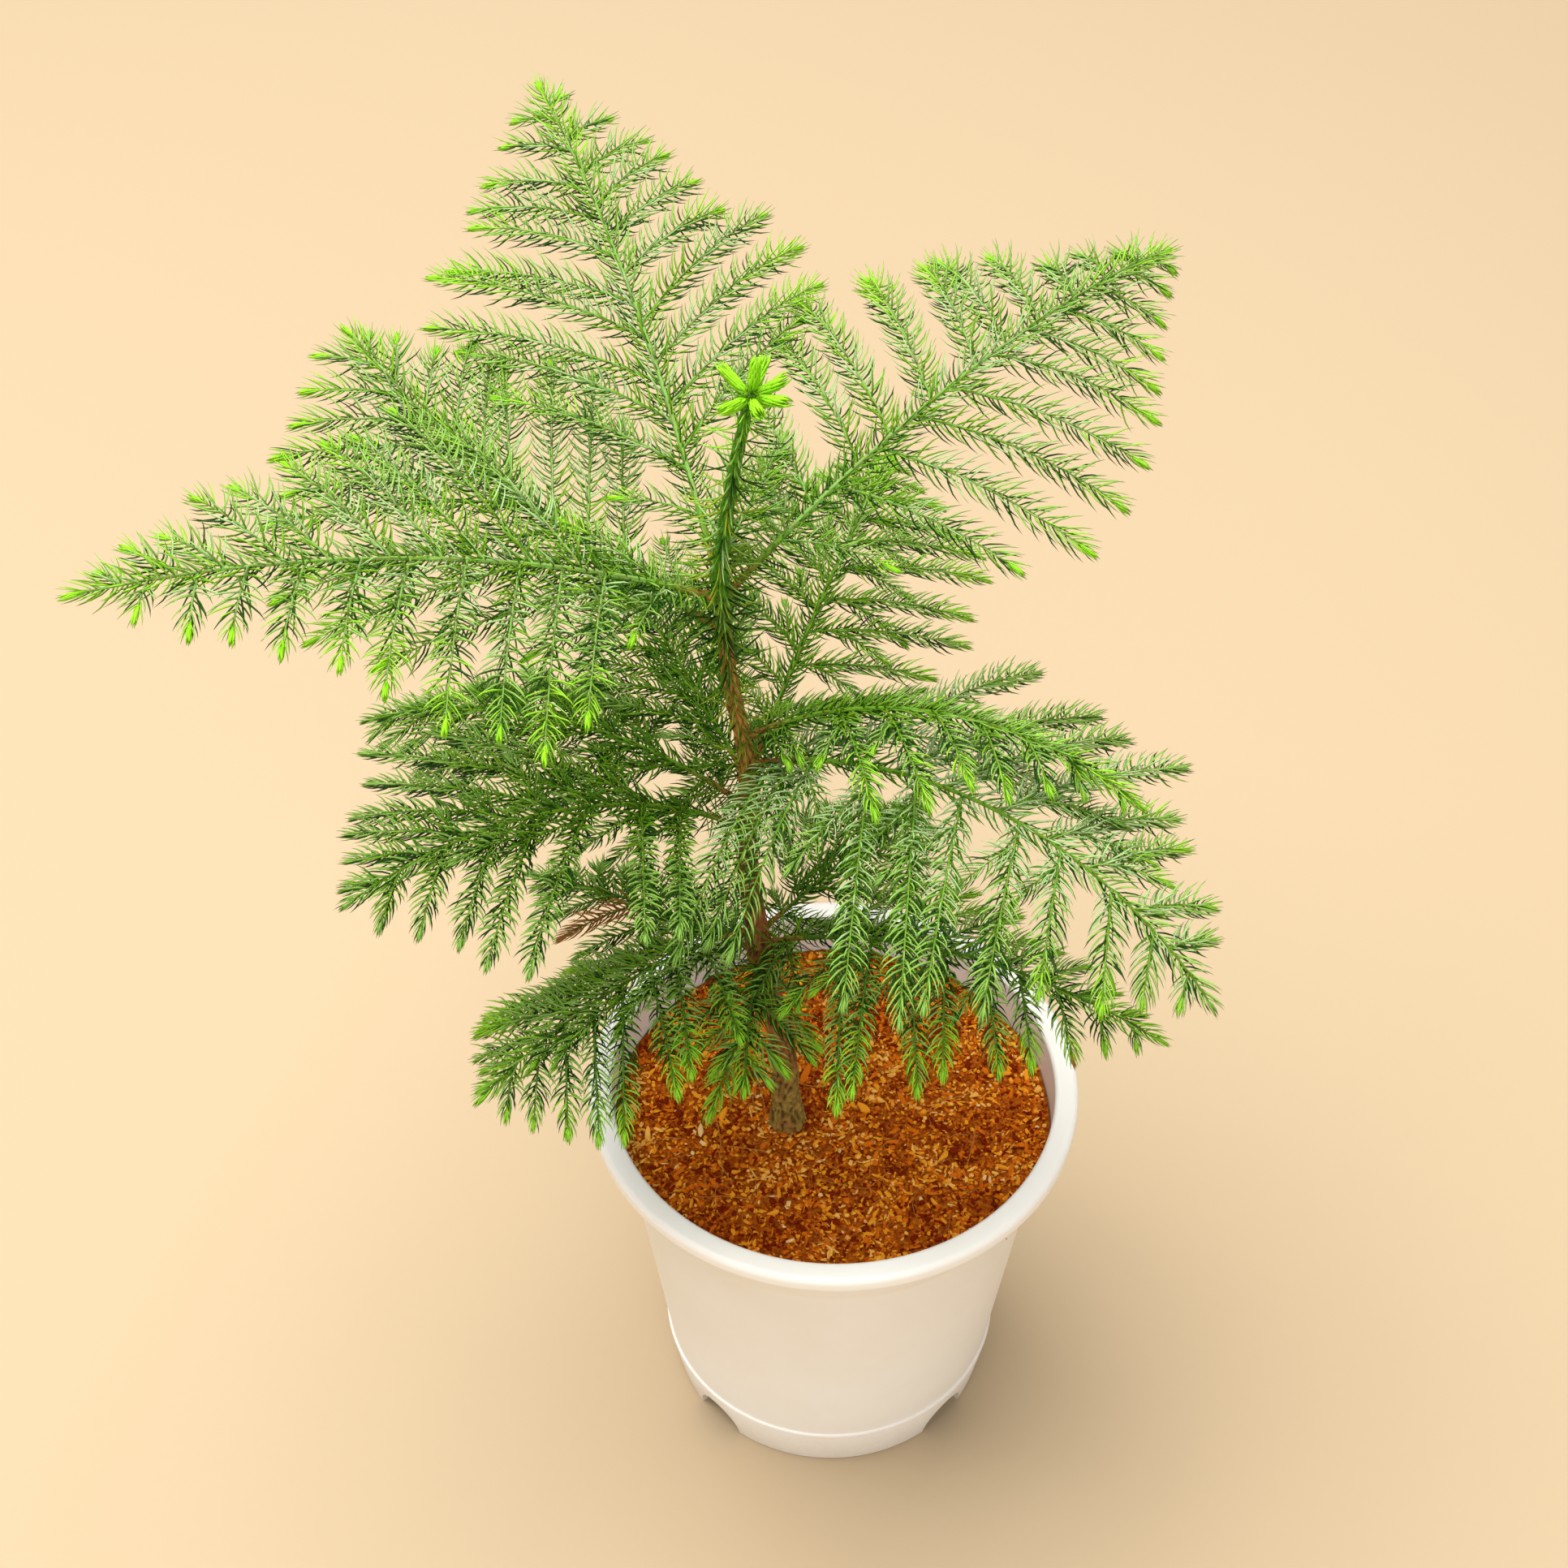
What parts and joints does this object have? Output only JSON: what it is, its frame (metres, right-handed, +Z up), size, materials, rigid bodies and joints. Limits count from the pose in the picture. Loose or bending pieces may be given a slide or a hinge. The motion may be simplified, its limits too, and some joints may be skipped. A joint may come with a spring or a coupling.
{
  "type": "potted norfolk island pine",
  "caption": "Young Norfolk Island pine with whorls of flat, feathery fronds on a slender bare trunk, standing in a round white plastic nursery pot.",
  "frame": {"origin": "on the ground, under the middle of the whole plant's box; the pot's axis stands at X 43 mm, Y -36 mm", "axes": "+Z up, along the trunk; +Y away from the viewer of the picture and +X to that viewer's right"},
  "size_m": [0.2943, 0.2801, 0.4196],
  "materials": {
    "pot": "smooth satin white plastic",
    "growing_medium": "loose coco peat with fibres and chips",
    "bark": "thin flaking brown bark",
    "foliage_top": "satin fresh green needles",
    "foliage_middle": "satin green needles",
    "foliage_lower": "satin dark green needles",
    "new_shoots": "satin lime green new needles"
  },
  "bodies": {
    "root": {"pot": "pot", "growing_medium": "growing_medium", "trunk": "bark", "bough_top_back": "bark", "bough_top_right": "bark", "bough_top_left": "bark", "bough_top_back_left": "bark", "bough_top_inner": "bark", "bough_middle_right": "bark", "bough_middle_far_right": "bark", "bough_middle_back": "bark", "bough_middle_back_left": "bark", "bough_middle_far_left": "bark", "bough_middle_left": "bark", "bough_lower_right": "bark", "bough_lower_left": "bark", "bough_lower_back_left": "bark", "bough_lower_back_right": "bark", "bough_lower_front": "bark", "foliage_top_back": "foliage_top", "foliage_top_right": "foliage_top", "foliage_top_left": "foliage_top", "foliage_top_back_left": "foliage_top", "foliage_top_inner": "foliage_top", "foliage_middle_right": "foliage_middle", "foliage_middle_far_right": "foliage_middle", "foliage_middle_back": "foliage_middle", "foliage_middle_back_left": "foliage_middle", "foliage_middle_far_left": "foliage_middle", "foliage_middle_left": "foliage_middle", "foliage_lower_right": "foliage_lower", "foliage_lower_left": "foliage_lower", "foliage_lower_back_left": "foliage_lower", "foliage_lower_back_right": "foliage_lower", "foliage_lower_front": "foliage_lower", "foliage_leader_tip": "new_shoots"}
  },
  "joints": []
}
